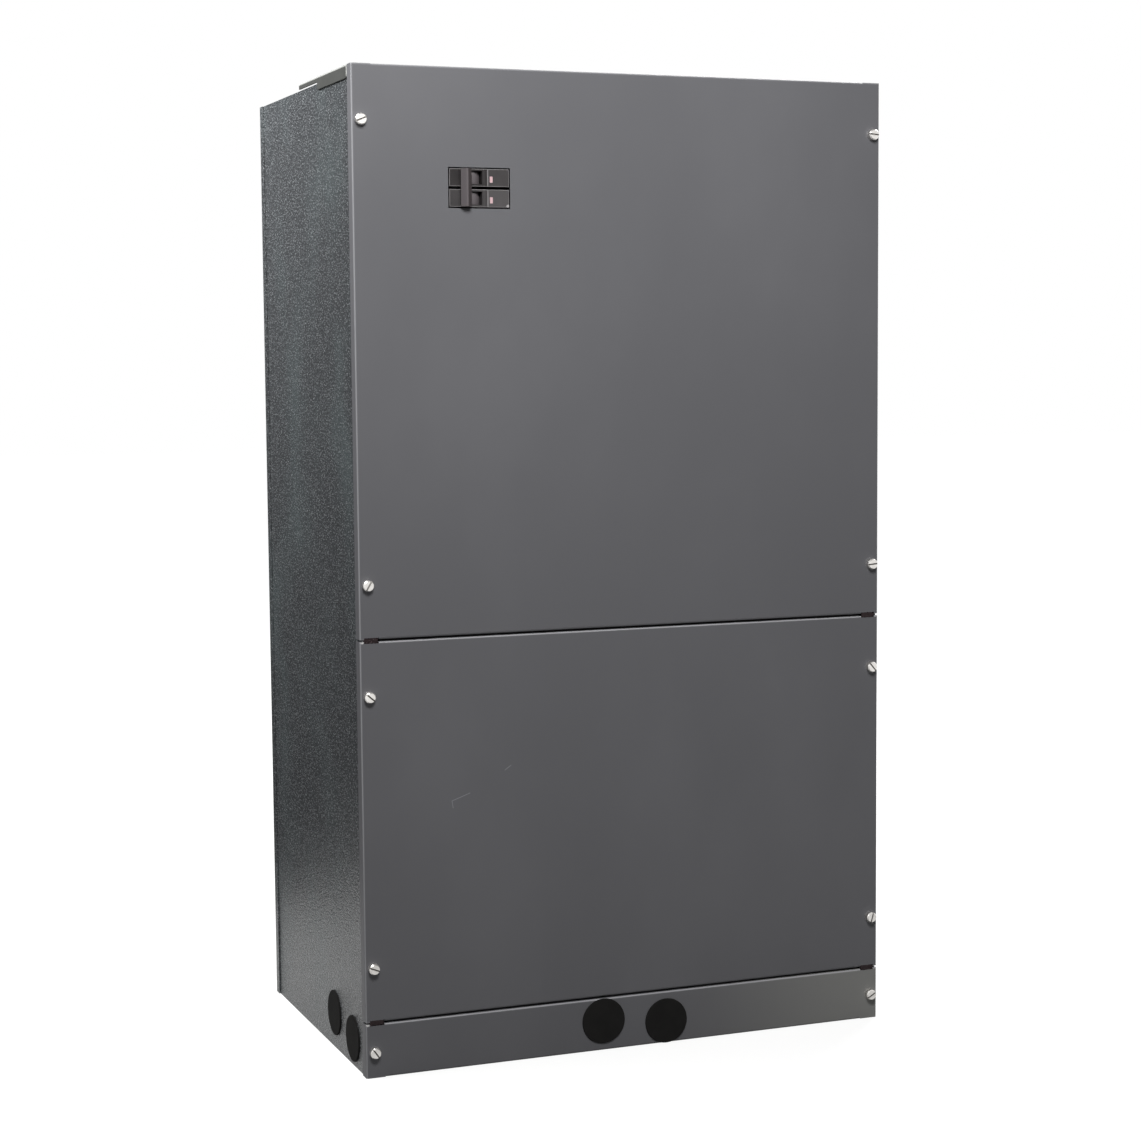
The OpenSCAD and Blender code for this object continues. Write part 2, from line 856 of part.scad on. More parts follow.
// A squirrel-cage wheel: blades between end rings and a middle disc, on a hub
module blower_wheel() {
    ring_t = 4;
    disc_t = 2;
    hub_r = 16;
    color(galvanised)
        translate([0, wheel_y, wheel_z])
            difference() {
                union() {
                    along_x(wheel_l)
                        for (i = [0:blades - 1]) rotate(360 * i / blades) blade();
                    for (side = [-1, 1])
                        translate([side * (wheel_l - ring_t) / 2, 0, 0])
                            along_x(ring_t)
                                difference() {
                                    circle(r = wheel_r);
                                    circle(r = wheel_r - blade_d);
                                }
                    along_x(disc_t) circle(r = wheel_r);
                    along_x(hub_l) circle(r = hub_r);
                }
                along_x(hub_l + 2 * over) circle(r = shaft_r + shaft_gap);
            }
}

// A motor in the left inlet, its shaft through the wheel's hub
module blower_motor() {
    motor_left = -plate_x - sheet - band_w - motor_dome;
    motor_right = -hub_l / 2 - motor_gap;
    shaft_end = hub_l / 2 + motor_gap;
    color(motor_black)
        translate([0, wheel_y, wheel_z])
            rotate([0, 90, 0])
                rotate_extrude()
                    polygon([
                        [0, motor_left], [motor_r - motor_dome, motor_left],
                        [motor_r, motor_left + motor_dome],
                        [motor_r, motor_right - motor_dome], [motor_r - motor_dome, motor_right],
                        [shaft_r, motor_right], [shaft_r, shaft_end], [0, shaft_end]
                    ]);
}

// A band round the motor and arms to the blower's left plate
module motor_arms() {
    arms = 3;
    band_t = 2;
    arm_w = 14;
    arm_lap = 10;
    arm_reach = inlet_r + arm_lap;
    color(galvanised)
        translate([-plate_x - sheet - band_w / 2, wheel_y, wheel_z])
            along_x(band_w)
                difference() {
                    union() {
                        circle(r = motor_r + band_t);
                        for (i = [0:arms - 1])
                            rotate(90 + 360 * i / arms)
                                translate([0, -arm_w / 2])
                                    square([arm_reach, arm_w]);
                    }
                    circle(r = motor_r + shaft_gap);
                }
}

// Coil

coil_low = sheet + pan_wall;
coil_top = coil_low + coil_h;
coil_w = 2 * (pan_x - pan_wall - coil_end_room - sheet);
slab_out_y = pan_back - pan_wall - slab_room;
slab_lean = atan2(slab_out_y - slab_t - slab_apex, coil_h);
slab_across = slab_t / cos(slab_lean);
slab_foot = slab_out_y - slab_across;
slab_top = slab_foot - coil_h * tan(slab_lean);
return_w = coil_w - 2 * (trough_end + pan_wall);
return_open_d = 2 * (slab_foot - trough_w - pan_wall);

// A slab of finned tube that leans to the middle, its foot flat on the pan and its top level
module slab() {
    color(aluminium_fin)
        along_x(coil_w)
            polygon([
                [slab_foot, coil_low], [slab_out_y, coil_low],
                [slab_top + slab_across, coil_top], [slab_top, coil_top]
            ]);
}

module coil_front_slab() {
    mirror([0, 1, 0]) slab();
}

module coil_rear_slab() {
    slab();
}

// A plate that closes the end of the coil
module coil_end() {
    apex = slab_top + slab_across;
    color(galvanised)
        translate([-(coil_w + sheet) / 2, 0, 0])
            along_x(sheet)
                polygon([[-slab_out_y, coil_low], [slab_out_y, coil_low], [apex, coil_top], [-apex, coil_top]]);
}

module coil_left_end() {
    coil_end();
}

module coil_right_end() {
    mirror([1, 0, 0]) coil_end();
}

// A strip that closes the gap between the slabs' tops
module coil_apex_cap() {
    apex = slab_top + slab_across;
    color(galvanised)
        translate([0, 0, coil_top + sheet / 2])
            cube([coil_w, 2 * apex, sheet], center = true);
}

upper_front_panel();
lower_front_panel();
base_front_panel();
left_side_panel();
right_side_panel();
back_panel();
top_panel();
base_pan();
supply_collar();
left_plenum_clip();
right_plenum_clip();
top_front_rail();
middle_rail();
low_rail();
breaker_upper_pole();
breaker_lower_pole();
breaker_handle();
trip_flags();
breaker_bracket();
control_partition();
front_left_plug();
front_right_plug();
side_front_plug();
side_rear_plug();
drain_pan();
left_liner();
right_liner();
back_liner();
blower_deck();
blower_scroll();
blower_left_plate();
blower_right_plate();
blower_wheel();
blower_motor();
motor_arms();
coil_front_slab();
coil_rear_slab();
coil_left_end();
coil_right_end();
coil_apex_cap();
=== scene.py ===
import math

import bmesh
import bpy
from mathutils import Matrix, Vector


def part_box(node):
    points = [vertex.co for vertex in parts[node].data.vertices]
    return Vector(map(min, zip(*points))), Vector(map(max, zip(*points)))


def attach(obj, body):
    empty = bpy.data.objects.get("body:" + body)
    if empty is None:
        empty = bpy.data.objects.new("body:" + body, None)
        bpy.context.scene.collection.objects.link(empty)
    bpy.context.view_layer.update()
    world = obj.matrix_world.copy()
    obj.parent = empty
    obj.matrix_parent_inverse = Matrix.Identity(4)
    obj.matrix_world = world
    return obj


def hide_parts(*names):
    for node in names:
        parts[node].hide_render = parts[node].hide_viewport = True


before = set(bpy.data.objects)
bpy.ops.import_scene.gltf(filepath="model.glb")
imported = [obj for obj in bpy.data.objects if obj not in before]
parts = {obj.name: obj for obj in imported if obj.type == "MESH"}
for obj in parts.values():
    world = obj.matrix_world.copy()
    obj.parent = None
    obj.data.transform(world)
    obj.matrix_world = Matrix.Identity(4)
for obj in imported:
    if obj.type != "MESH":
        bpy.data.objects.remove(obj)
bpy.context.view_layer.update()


# Base pan, rails, plates and blower housing: galvanised steel sheet, sheared, folded and spot-welded.
# The zinc freezes in flat crystals, so each spangle has its own shade and its own gloss. The rails are
# painted dark as shade where they show through the front's seams.
SPANGLES_PER_METRE = 85.0
SPANGLE_SHARE = 0.6
SMUDGE_SHARE = 0.5
ZINC_DARK = (132, 136, 138)
ZINC_PALE = (176, 180, 182)
SEAM_GAP = 0.002
SEAM_SHADE = (14, 13, 12)
SEAM_SHADE_HALF = 0.004


def paint_chip(red, green, blue):
    """A colour read off a chip in screen values, as the linear colour that shaders take."""
    screen = (red / 255, green / 255, blue / 255)
    return tuple(c / 12.92 if c <= 0.04045 else ((c + 0.055) / 1.055) ** 2.4 for c in screen) + (1.0,)


def node(tree, kind, inputs=None, **settings):
    """A node whose inputs are constants or the sockets that feed them."""
    made = tree.nodes.new(kind)
    for setting, value in settings.items():
        setattr(made, setting, value)
    for socket, value in (inputs or {}).items():
        if isinstance(value, bpy.types.NodeSocket):
            tree.links.new(value, made.inputs[socket])
        else:
            made.inputs[socket].default_value = value
    return made


def calc(tree, operation, *values, clamp=False):
    """The result of a Math node."""
    inputs = dict(enumerate(values))
    return node(tree, "ShaderNodeMath", inputs, operation=operation, use_clamp=clamp).outputs[0]


def vector_calc(tree, operation, first, second):
    """The outputs of a Vector Math node on two vectors."""
    return node(tree, "ShaderNodeVectorMath", {0: first, 1: second}, operation=operation).outputs


def axes_of(tree, place):
    """The X, Y and Z of a place."""
    return node(tree, "ShaderNodeSeparateXYZ", {0: place}).outputs


def fade(tree, value, start, end, low=0.0, high=1.0):
    """A value eased from low at start to high at end."""
    inputs = {"Value": value, "From Min": start, "From Max": end, "To Min": low, "To Max": high}
    return node(tree, "ShaderNodeMapRange", inputs, interpolation_type="SMOOTHSTEP").outputs["Result"]


def shade(tree, share, first, second):
    """The colour between two colours, by share. Each is a paint chip or the socket that brings it."""
    first, second = (c if isinstance(c, bpy.types.NodeSocket) else paint_chip(*c) for c in (first, second))
    return node(tree, "ShaderNodeMix", {0: share, 6: first, 7: second}, data_type="RGBA").outputs[2]


def new_finish(name):
    """An empty material, its node tree, its surface shader and its Object coordinates."""
    finish = bpy.data.materials.new(name)
    finish.use_nodes = True
    tree = finish.node_tree
    place = node(tree, "ShaderNodeTexCoord").outputs["Object"]
    return finish, tree, tree.nodes["Principled BSDF"], place


def colour(tree, shader, coat):
    """Gives a surface its colour."""
    tree.links.new(coat, shader.inputs["Base Color"])


def roughen(tree, shader, where, least, spread):
    """Gives a surface a roughness that grows from its least by a spread, as a mask goes from 0 to 1."""
    tree.links.new(calc(tree, "MULTIPLY_ADD", where, spread, least), shader.inputs["Roughness"])


def emboss(tree, shader, height, depth):
    """Bumps a surface by a height from 0 to 1 that is so many metres deep."""
    bump = node(tree, "ShaderNodeBump", {"Height": height, "Distance": depth})
    tree.links.new(bump.outputs[0], shader.inputs["Normal"])


def open_group(name, inputs, outputs):
    """An empty shader group with named inputs and outputs, and the sockets that its inputs arrive on."""
    group = bpy.data.node_groups.new(name, "ShaderNodeTree")
    for socket, kind in inputs.items():
        group.interface.new_socket(socket, in_out="INPUT", socket_type="NodeSocket" + kind)
    for socket in outputs:
        group.interface.new_socket(socket, in_out="OUTPUT", socket_type="NodeSocketFloat")
    return group, node(group, "NodeGroupInput").outputs


def place_group(tree, group, inputs):
    """A group's outputs in a material."""
    return node(tree, "ShaderNodeGroup", inputs, node_tree=group).outputs


def dress(finish, *names):
    """Puts a finish on CAD pieces."""
    for name in names:
        for slot in parts[name].material_slots:
            slot.material = finish


# Marks of making and handling: a fine grain, and soft smudges that run along the sheet.
marks, given = open_group(
    "handling marks",
    {"Vector": "Vector", "Grains Per Metre": "Float", "Smudges Per Metre": "Float", "Run": "Vector"},
    ("Grain", "Smudge"),
)
drawn_out = vector_calc(marks, "MULTIPLY", given["Vector"], given["Run"])[0]
fine = {"Vector": given["Vector"], "Scale": given["Grains Per Metre"], "Detail": 2.0}
soft = {"Vector": drawn_out, "Scale": given["Smudges Per Metre"], "Detail": 4.0, "Roughness": 0.55}
node(
    marks,
    "NodeGroupOutput",
    {
        "Grain": node(marks, "ShaderNodeTexNoise", fine).outputs[0],
        "Smudge": node(marks, "ShaderNodeTexNoise", soft).outputs[0],
    },
)


def add_marks(tree, place, grains, smudges, run=(1.0, 1.0, 1.0)):
    """The grain and the smudges of a finish, so many to the metre. A run under 1 draws the smudges out."""
    inputs = {"Vector": place, "Grains Per Metre": grains, "Smudges Per Metre": smudges, "Run": run}
    placed = place_group(tree, marks, inputs)
    return placed["Grain"], placed["Smudge"]


def galvanised_sheet(name, seam=None):
    """Spangled zinc, painted dark as shade at the height of a seam."""
    finish, tree, shader, place = new_finish(name)
    grain, smudge = add_marks(tree, place, grains=1400.0, smudges=9.0, run=(1.0, 1.0, 0.4))
    spangles = node(tree, "ShaderNodeTexVoronoi", {"Vector": place, "Scale": SPANGLES_PER_METRE})
    crystal = node(tree, "ShaderNodeSeparateColor", {0: spangles.outputs["Color"]}).outputs[0]
    tone = calc(tree, "MULTIPLY_ADD", crystal, SPANGLE_SHARE, calc(tree, "MULTIPLY", smudge, SMUDGE_SHARE))
    coat = shade(tree, tone, ZINC_DARK, ZINC_PALE)
    if seam:
        # Painted shade: the rail is darkened along the seam, where it shows through the gap.
        off = calc(tree, "ABSOLUTE", calc(tree, "SUBTRACT", axes_of(tree, place)["Z"], seam))
        seam_shade = fade(tree, off, SEAM_SHADE_HALF, SEAM_SHADE_HALF * 2, low=1.0, high=0.0)
        coat = shade(tree, seam_shade, coat, SEAM_SHADE)
    colour(tree, shader, coat)
    roughen(tree, shader, crystal, least=0.32, spread=0.16)
    shader.inputs["Metallic"].default_value = 0.9
    emboss(tree, shader, grain, depth=0.00004)
    return finish


dress(
    galvanised_sheet("galvanised sheet"),
    "base_pan", "top_front_rail", "breaker_bracket", "control_partition", "blower_deck", "blower_scroll",
    "blower_left_plate", "blower_right_plate", "blower_wheel", "motor_arms", "coil_left_end",
    "coil_right_end", "coil_apex_cap", "supply_collar",
)
for rail, panel in (("middle_rail", "upper_front_panel"), ("low_rail", "lower_front_panel")):
    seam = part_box(panel)[0].z - SEAM_GAP / 2
    dress(galvanised_sheet(rail.replace("_", " ") + " sheet", seam), rail)


# Drain pan: one tray moulded in black plastic, dropped on the base pan under the coil.
# Its face is spark-textured, and dust settles on it.
PAN_BLACK = (34, 35, 36)
PAN_DUST = (58, 58, 57)

pan_plastic, tree, shader, place = new_finish("black pan plastic")
grain, smudge = add_marks(tree, place, grains=1800.0, smudges=14.0)
colour(tree, shader, shade(tree, fade(tree, smudge, 0.45, 0.8, high=0.7), PAN_BLACK, PAN_DUST))
roughen(tree, shader, smudge, least=0.42, spread=0.2)
emboss(tree, shader, grain, depth=0.00006)
dress(pan_plastic, "drain_pan")


# Coil: two leaning slabs of thin aluminium fins, pressed side by side on copper tubes between end plates.
# Each fin is a slice of its slab's outline.
FIN_PITCH = 0.0018
FIN_THICKNESS = 0.00035
FIN_PALE = (196, 199, 202)
FIN_DULL = (150, 153, 156)

fins, tree, shader, place = new_finish("bare aluminium fins")
grain, smudge = add_marks(tree, place, grains=600.0, smudges=12.0)
colour(tree, shader, shade(tree, smudge, FIN_DULL, FIN_PALE))
roughen(tree, shader, grain, least=0.28, spread=0.2)
shader.inputs["Metallic"].default_value = 0.9
emboss(tree, shader, grain, depth=0.00003)


def open_tree(name, kinds):
    """An empty Geometry Nodes tree, the sockets that its inputs arrive on, and their identifiers by name."""
    tree = bpy.data.node_groups.new(name, "GeometryNodeTree")
    tree.interface.new_socket("Geometry", in_out="INPUT", socket_type="NodeSocketGeometry")
    identifiers = {
        socket: tree.interface.new_socket(socket, in_out="INPUT", socket_type="NodeSocket" + kind).identifier
        for socket, kind in kinds.items()
    }
    tree.interface.new_socket("Geometry", in_out="OUTPUT", socket_type="NodeSocketGeometry")
    return tree, node(tree, "NodeGroupInput").outputs, identifiers


fin_pack, given, fin_inputs = open_tree(
    "fin pack", {"Pack Length": "Float", "Pitch": "Float", "Thickness": "Float", "Finish": "Material"}
)
squeeze = calc(fin_pack, "DIVIDE", given["Thickness"], given["Pack Length"])
slice_scale = node(fin_pack, "ShaderNodeCombineXYZ", {"X": squeeze, "Y": 1.0, "Z": 1.0}).outputs[0]
slab_slice = {"Geometry": given["Geometry"], "Scale": slice_scale}
fin = node(fin_pack, "GeometryNodeTransform", slab_slice).outputs[0]
span = calc(fin_pack, "SUBTRACT", given["Pack Length"], given["Thickness"])
gaps = calc(fin_pack, "FLOOR", calc(fin_pack, "DIVIDE", span, given["Pitch"]))
first = node(fin_pack, "ShaderNodeCombineXYZ", {"X": calc(fin_pack, "MULTIPLY", span, -0.5)}).outputs[0]
last = node(fin_pack, "ShaderNodeCombineXYZ", {"X": calc(fin_pack, "MULTIPLY", span, 0.5)}).outputs[0]
row = node(
    fin_pack,
    "GeometryNodeMeshLine",
    {"Count": calc(fin_pack, "ADD", gaps, 1.0), "Start Location": first, "Offset": last},
    mode="END_POINTS",
).outputs[0]
laid = node(fin_pack, "GeometryNodeInstanceOnPoints", {"Points": row, "Instance": fin}).outputs[0]
solid = node(fin_pack, "GeometryNodeRealizeInstances", {"Geometry": laid}).outputs[0]
bright = {"Geometry": solid, "Material": given["Finish"]}
node(fin_pack, "NodeGroupOutput", {"Geometry": node(fin_pack, "GeometryNodeSetMaterial", bright).outputs[0]})


def merged_copy(name, part):
    """A new piece with a CAD piece's shape, its loose triangles joined and its flat faces whole."""
    piece = bpy.data.objects.new(name, parts[part].data.copy())
    bpy.context.scene.collection.objects.link(piece)
    shape = bmesh.new()
    shape.from_mesh(piece.data)
    bmesh.ops.remove_doubles(shape, verts=shape.verts, dist=1e-6)
    bmesh.ops.dissolve_limit(shape, angle_limit=math.radians(1), verts=shape.verts, edges=shape.edges)
    shape.to_mesh(piece.data)
    shape.free()
    piece.data.materials.clear()
    return piece


def grow(piece, tree, identifiers, values):
    """Runs a Geometry Nodes tree on a piece and keeps the result as its plain mesh."""
    modifier = piece.modifiers.new("tree", "NODES")
    modifier.node_group = tree
    for name, value in values.items():
        modifier[identifiers[name]] = value
    drawn = piece.evaluated_get(bpy.context.evaluated_depsgraph_get())
    piece.data = bpy.data.meshes.new_from_object(drawn)
    piece.modifiers.clear()


for slab in ("coil_front_slab", "coil_rear_slab"):
    low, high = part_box(slab)
    pack = merged_copy(slab.replace("slab", "fins"), slab)
    fin_sizes = {"Pack Length": high.x - low.x, "Pitch": FIN_PITCH, "Thickness": FIN_THICKNESS}
    grow(pack, fin_pack, fin_inputs, {**fin_sizes, "Finish": fins})
    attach(pack, "cabinet")
    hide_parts(slab)


# Blower motor: a rolled steel shell with spun ends in black stove enamel, held in a band with three arms.
# Handling has rubbed the enamel dull in patches.
ENAMEL_BLACK = (30, 31, 33)
ENAMEL_WORN = (64, 65, 67)

enamel, tree, shader, place = new_finish("black motor enamel")
grain, smudge = add_marks(tree, place, grains=700.0, smudges=20.0)
colour(tree, shader, shade(tree, fade(tree, smudge, 0.5, 0.75, high=0.5), ENAMEL_BLACK, ENAMEL_WORN))
roughen(tree, shader, smudge, least=0.22, spread=0.25)
emboss(tree, shader, grain, depth=0.00003)
dress(enamel, "blower_motor")


# Liners: boards of glass wool faced with aluminium foil, glued inside the side and back panels.
# The foil is laid over a thread mesh, which shows as a fine square relief.
THREADS_PER_METRE = 80.0
THREAD_HALF = 0.09
CREASE_SHARE = 0.8
FOIL_PALE = (182, 185, 188)
FOIL_DULL = (146, 149, 152)

foil, tree, shader, place = new_finish("foil facing")
grain, smudge = add_marks(tree, place, grains=240.0, smudges=10.0)
axes = axes_of(tree, place)
threads = []
for along in (calc(tree, "ADD", axes["X"], axes["Y"]), axes["Z"]):
    off_thread = calc(tree, "PINGPONG", calc(tree, "MULTIPLY", along, THREADS_PER_METRE), 0.5)
    threads.append(fade(tree, off_thread, 0.0, THREAD_HALF, low=1.0, high=0.0))
creases = calc(tree, "MULTIPLY_ADD", grain, CREASE_SHARE, calc(tree, "MAXIMUM", *threads))
colour(tree, shader, shade(tree, smudge, FOIL_DULL, FOIL_PALE))
roughen(tree, shader, grain, least=0.15, spread=0.3)
shader.inputs["Metallic"].default_value = 0.9
emboss(tree, shader, creases, depth=0.00025)
dress(foil, "left_liner", "right_liner", "back_liner")


# Side, back and top panels: steel sheet coated in blue-grey and rolled with a stucco pattern that hides
# dents, then folded into channels. The relief's hollows are painted in shade and its ridges get painted
# glints, palms have smeared the coat, and the flanges behind the front are painted dark as shade.
PEBBLES_PER_METRE = 560.0
PEBBLE_RUN = (1.0, 0.6, 1.0)
PEBBLE_SHARE = -1.1
GRAIN_SHARE = 0.9
STUCCO_DEPTH = 0.0005
STUCCO_LIT_RIDGE = (93, 95, 98)
STUCCO_HOLLOW_SHADE = (60, 62, 64)
STUCCO_PAINTED_GLINT = (166, 171, 172)
STUCCO_SMEAR = (90, 101, 102)
FLANGE_SHADE = (48, 41, 42)
FLANGE_AHEAD = (0.0015, 0.0005)
FLANGE_INWARD = (0.0015, 0.0025)

stucco, tree, shader, place = new_finish("stucco embossed paint")
grain, smudge = add_marks(tree, place, grains=950.0, smudges=11.0, run=(1.0, 1.0, 0.7))
pebbles = node(
    tree,
    "ShaderNodeTexVoronoi",
    {
        "Vector": vector_calc(tree, "MULTIPLY", place, PEBBLE_RUN)[0],
        "Scale": PEBBLES_PER_METRE,
        "Smoothness": 0.6,
    },
    feature="SMOOTH_F1",
).outputs["Distance"]
relief = calc(tree, "MULTIPLY_ADD", grain, GRAIN_SHARE, calc(tree, "MULTIPLY", pebbles, PEBBLE_SHARE))
# Painted shade in the relief's hollows and painted glints on its ridges.
coat = shade(tree, fade(tree, relief, -0.25, 0.3), STUCCO_HOLLOW_SHADE, STUCCO_LIT_RIDGE)
coat = shade(tree, fade(tree, smudge, 0.4, 0.8, high=0.42), coat, STUCCO_SMEAR)
coat = shade(tree, fade(tree, relief, 0.1, 0.42, high=0.7), coat, STUCCO_PAINTED_GLINT)
axes = axes_of(tree, place)
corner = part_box("left_side_panel")[0]
# Painted shade: the flanges behind the front panels are dark and metallic.
ahead = fade(tree, axes["Y"], *(corner.y + depth for depth in FLANGE_AHEAD))
inward = fade(tree, calc(tree, "ABSOLUTE", axes["X"]), *(-corner.x - depth for depth in FLANGE_INWARD))
flange_shade = calc(tree, "MULTIPLY", ahead, inward)
colour(tree, shader, shade(tree, flange_shade, coat, FLANGE_SHADE))
roughen(tree, shader, smudge, least=0.16, spread=0.14)
tree.links.new(flange_shade, shader.inputs["Metallic"])
shader.inputs["Specular IOR Level"].default_value = 0.4
emboss(tree, shader, relief, STUCCO_DEPTH)
dress(stucco, "left_side_panel", "right_side_panel", "back_panel", "top_panel")


# Front panels: three steel sheets pan-formed with reliefs at the corners and powder-coated in satin charcoal.
# The folds are painted pale as highlights, and the coat is chipped at two corners. The lower panel has
# hairline scratches, and the base panel is painted lighter towards its right as a reflection of the floor.
CHARCOAL = (94, 94, 97)
CHARCOAL_PALE = (100, 100, 103)
CHARCOAL_FOLD_HIGHLIGHT = (170, 170, 173)
FOLD_RADIUS = 0.002
SIDE_FOLD_HIGHLIGHT = 0.45
BOTTOM_FOLD_HIGHLIGHT = 0.1
BASE_REFLECTION_LIGHT = (128, 128, 126)
BASE_REFLECTION_SPAN = (0.02, 0.26)
CHIPPED = (206, 205, 203)
CHIP_DEPTH = 0.0004
SCRATCHED = (132, 132, 138)
SCRATCH_HALF = 0.0002
SCRATCHES = (
    ((-0.1777, 0.2506), (-0.1602, 0.2567)),
    ((-0.1767, 0.2440), (-0.1777, 0.2506)),
    ((-0.1259, 0.2756), (-0.1200, 0.2796)),
)

# Painted highlight on a fold: how far a point lies out on the bend, most in its middle, none on the two
# faces.
fold_highlight, given = open_group("fold highlight", {"Out": "Float", "Ahead": "Float", "Radius": "Float"}, ("Mask",))
turned = calc(fold_highlight, "MINIMUM", given["Out"], given["Ahead"])
start = calc(fold_highlight, "MULTIPLY", given["Radius"], 0.2)
middle = calc(fold_highlight, "MULTIPLY", given["Radius"], 0.65)
node(fold_highlight, "NodeGroupOutput", {"Mask": fade(fold_highlight, turned, start, middle)})

# A scratch: how near a point lies to the line between two ends.
hairline, given = open_group(
    "hairline scratch",
    {"Vector": "Vector", "Start": "Vector", "End": "Vector", "Half Width": "Float"},
    ("Mask",),
)
line = vector_calc(hairline, "SUBTRACT", given["End"], given["Start"])[0]
offset = vector_calc(hairline, "SUBTRACT", given["Vector"], given["Start"])[0]
along = vector_calc(hairline, "DOT_PRODUCT", offset, line)["Value"]
whole = vector_calc(hairline, "DOT_PRODUCT", line, line)["Value"]
share = calc(hairline, "DIVIDE", along, whole, clamp=True)
nearest = node(hairline, "ShaderNodeVectorMath", {0: line, "Scale": share}, operation="SCALE").outputs[0]
gap = vector_calc(hairline, "DISTANCE", offset, nearest)["Value"]
clear = calc(hairline, "MULTIPLY", given["Half Width"], 2.0)
near = fade(hairline, gap, given["Half Width"], clear, low=1.0, high=0.0)
node(hairline, "NodeGroupOutput", {"Mask": near})


def paint_panel(part, top_fold_highlight, chips=(), scratches=(), floor_reflection=None):
    """The satin coat of a front panel. A chip is its distance from the left side at the top, and its size."""
    finish, tree, shader, place = new_finish(part.replace("_", " ") + " paint")
    grain, smudge = add_marks(tree, place, grains=1100.0, smudges=5.0, run=(1.0, 1.0, 0.6))
    coat = shade(tree, fade(tree, smudge, 0.35, 0.75), CHARCOAL, CHARCOAL_PALE)
    axes = axes_of(tree, place)
    low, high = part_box(part)
    # Painted reflection of the floor: the panel is painted lighter towards its right.
    if floor_reflection:
        coat = shade(tree, fade(tree, axes["X"], *floor_reflection), coat, BASE_REFLECTION_LIGHT)
    ahead = calc(tree, "SUBTRACT", low.y + FOLD_RADIUS, axes["Y"])
    # Painted highlights along the side, top and bottom folds.
    fold_highlights = (
        (calc(tree, "SUBTRACT", calc(tree, "ABSOLUTE", axes["X"]), high.x - FOLD_RADIUS), SIDE_FOLD_HIGHLIGHT),
        (calc(tree, "SUBTRACT", axes["Z"], high.z - FOLD_RADIUS), top_fold_highlight),
        (calc(tree, "SUBTRACT", low.z + FOLD_RADIUS, axes["Z"]), BOTTOM_FOLD_HIGHLIGHT),
    )
    for out, strength in fold_highlights:
        bend = place_group(tree, fold_highlight, {"Out": out, "Ahead": ahead, "Radius": FOLD_RADIUS})
        coat = shade(tree, calc(tree, "MULTIPLY", bend["Mask"], strength), coat, CHARCOAL_FOLD_HIGHLIGHT)
    for inset, size in chips:
        centre = (low.x + inset, low.y + CHIP_DEPTH, high.z - CHIP_DEPTH)
        off = vector_calc(tree, "DISTANCE", place, centre)["Value"]
        ragged = calc(tree, "MULTIPLY_ADD", grain, size, off)
        coat = shade(tree, fade(tree, ragged, size * 1.05, size * 1.25, low=1.0, high=0.0), coat, CHIPPED)
    for scratch in scratches:
        start, end = ((x, low.y, z) for x, z in scratch)
        inputs = {"Vector": place, "Start": start, "End": end, "Half Width": SCRATCH_HALF}
        coat = shade(tree, place_group(tree, hairline, inputs)["Mask"], coat, SCRATCHED)
    colour(tree, shader, coat)
    roughen(tree, shader, smudge, least=0.4, spread=0.12)
    shader.inputs["Specular IOR Level"].default_value = 0.2
    emboss(tree, shader, grain, depth=0.00002)
    dress(finish, part)


paint_panel("upper_front_panel", top_fold_highlight=0.3)
paint_panel("lower_front_panel", top_fold_highlight=0.9, chips=[(0.0022, 0.0018)], scratches=SCRATCHES)
paint_panel("base_front_panel", top_fold_highlight=0.9, chips=[(0.0018, 0.002)], floor_reflection=BASE_REFLECTION_SPAN)


# Plenum clips: strips of sheet, punched, folded and lapped over the sides' top edges, in a darker paint.
# The punched front end and the top edge are painted pale as highlights.
CLIP_EDGE = 0.0004
CLIP_RIM = 0.0018
CLIP_HIGHLIGHT_SHARE = 0.8
CLIP_GREY = (62, 63, 61)
CLIP_PALE = (70, 71, 69)
CLIP_HIGHLIGHT = (180, 181, 178)


def round_edges(name, part, body, finish, width):
    """A CAD piece's shape with its edges rounded, in that piece's place."""
    piece = merged_copy(name, part)
    piece.data.materials.append(finish)
    edges = piece.modifiers.new("rounded edges", "BEVEL")
    edges.width = width
    edges.segments = 2
    edges.limit_method = "ANGLE"
    edges.angle_limit = math.radians(40)
    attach(piece, body)
    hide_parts(part)


clip_paint, tree, shader, place = new_finish("clip paint")
grain, smudge = add_marks(tree, place, grains=1100.0, smudges=40.0)
axes = axes_of(tree, place)
clip_low, clip_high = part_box("right_plenum_clip")
# Painted highlights along the clip's top edge and its front end.
top_edge_highlight = fade(tree, axes["Z"], clip_high.z - CLIP_RIM, clip_high.z - CLIP_RIM / 2)
end_highlight = fade(tree, axes["Y"], clip_low.y + CLIP_RIM, clip_low.y + CLIP_RIM / 2)
highlit_rim = calc(tree, "MULTIPLY", calc(tree, "MAXIMUM", top_edge_highlight, end_highlight), CLIP_HIGHLIGHT_SHARE)
colour(tree, shader, shade(tree, highlit_rim, shade(tree, smudge, CLIP_GREY, CLIP_PALE), CLIP_HIGHLIGHT))
roughen(tree, shader, smudge, least=0.4, spread=0.12)
shader.inputs["Specular IOR Level"].default_value = 0.2
emboss(tree, shader, grain, depth=0.00002)
for side in ("left", "right"):
    round_edges(side + "_clip", side + "_plenum_clip", "cabinet", clip_paint, CLIP_EDGE)


